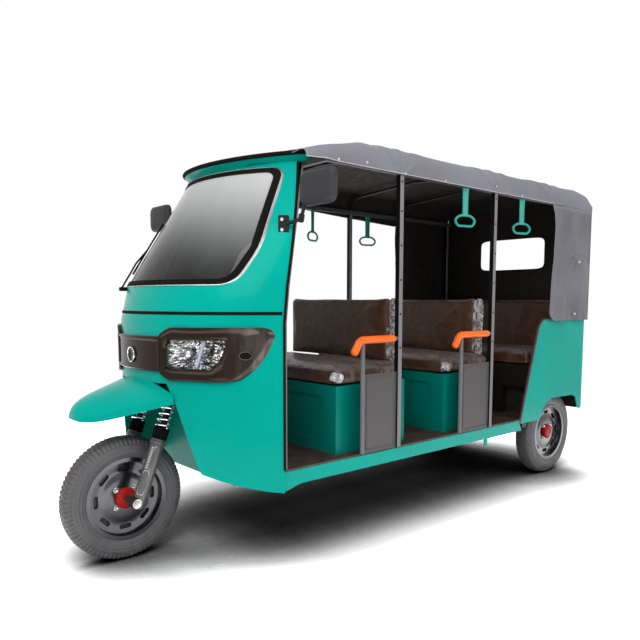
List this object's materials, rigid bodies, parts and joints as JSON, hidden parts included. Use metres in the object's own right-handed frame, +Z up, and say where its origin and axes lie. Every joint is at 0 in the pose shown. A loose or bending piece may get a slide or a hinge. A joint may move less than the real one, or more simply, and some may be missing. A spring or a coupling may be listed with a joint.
{
  "type": "auto rickshaw",
  "caption": "Three-wheeled electric passenger rickshaw with a windscreened cab, open bench bays, a fabric canopy and a steered front wheel.",
  "frame": {"origin": "on the ground, below the middle of the overall box", "axes": "+X to the vehicle's left, -Y forward, +Z up"},
  "size_m": [1.47, 3.107, 1.7848],
  "materials": {
    "teal_paint": "gloss paint",
    "grey_frame": "satin paint",
    "grey_panel": "satin paint",
    "dark_paint": "satin black paint",
    "black_plastic": "gloss moulded plastic",
    "matt_plastic": "matt moulded plastic",
    "clear_lens": "clear",
    "screen_glass": "clear, slightly grey",
    "lamp_reflector": "bright",
    "rubber_black": "matt",
    "tyre_rubber": "matt",
    "floor_brown": "satin",
    "seat_leather": "semi-gloss",
    "canopy_fabric": "woven",
    "orange_grip": "satin",
    "handle_teal": "satin",
    "spring_chrome": "bright",
    "mirror_glass": "bright",
    "red_hub": "gloss",
    "lamp_red": "gloss"
  },
  "bodies": {
    "body": {"cab_shell": "teal_paint", "roof_cap": "teal_paint", "front_fender": "teal_paint", "side_sills": "teal_paint", "rear_body": "teal_paint", "wheel_well": "teal_paint", "windscreen_glass": "screen_glass", "windscreen_seal": "rubber_black", "lamp_bezels": "black_plastic", "headlamp_lenses": "clear_lens", "headlamp_units": "lamp_reflector", "dashboard": "matt_plastic", "wiper": "matt_plastic", "mirror_arms": "dark_paint", "mirror_heads": "matt_plastic", "mirror_glasses": "mirror_glass", "chassis_frame": "dark_paint", "floor_pan": "floor_brown", "tube_frame": "grey_frame", "guard_rails": "grey_frame", "guard_panels": "grey_panel", "armrest_grips": "orange_grip", "bench_bases": "teal_paint", "seat_cushions": "seat_leather", "seat_backs": "seat_leather", "wheel_houses": "dark_paint", "tail_lamps": "lamp_red", "canopy_roof": "canopy_fabric", "rear_curtain": "canopy_fabric", "pillars": "grey_frame", "side_flaps": "canopy_fabric", "grab_handles": "handle_teal", "rear_axle": "dark_paint", "leaf_springs": "dark_paint"},
    "steering": {"fork_crown": "dark_paint", "fork_legs": "dark_paint", "fork_springs": "spring_chrome", "handlebar": "dark_paint"},
    "front_wheel": {"tyre_front": "tyre_rubber", "rim_front": "dark_paint", "hub_front": "red_hub"},
    "rear_wheel_left": {"tyre_rear_left": "tyre_rubber", "rim_rear_left": "dark_paint", "hub_rear_left": "red_hub"},
    "rear_wheel_right": {"tyre_rear_right": "tyre_rubber", "rim_rear_right": "dark_paint", "hub_rear_right": "red_hub"}
  },
  "joints": [
    {"name": "steering", "type": "hinge", "parent": "body", "child": "steering", "pos_m": [0, -1.2765, 0.257], "axis": [0, 0.3551, 0.9348], "range_deg": [-35, 35]},
    {"name": "front_wheel_spin", "type": "hinge", "parent": "steering", "child": "front_wheel", "pos_m": [0, -1.2965, 0.257], "axis": [1, 0, 0], "continuous": true},
    {"name": "rear_left_spin", "type": "hinge", "parent": "body", "child": "rear_wheel_left", "pos_m": [0.425, 1.2925, 0.257], "axis": [1, 0, 0], "continuous": true},
    {"name": "rear_right_spin", "type": "hinge", "parent": "body", "child": "rear_wheel_right", "pos_m": [-0.425, 1.2925, 0.257], "axis": [1, 0, 0], "continuous": true}
  ]
}
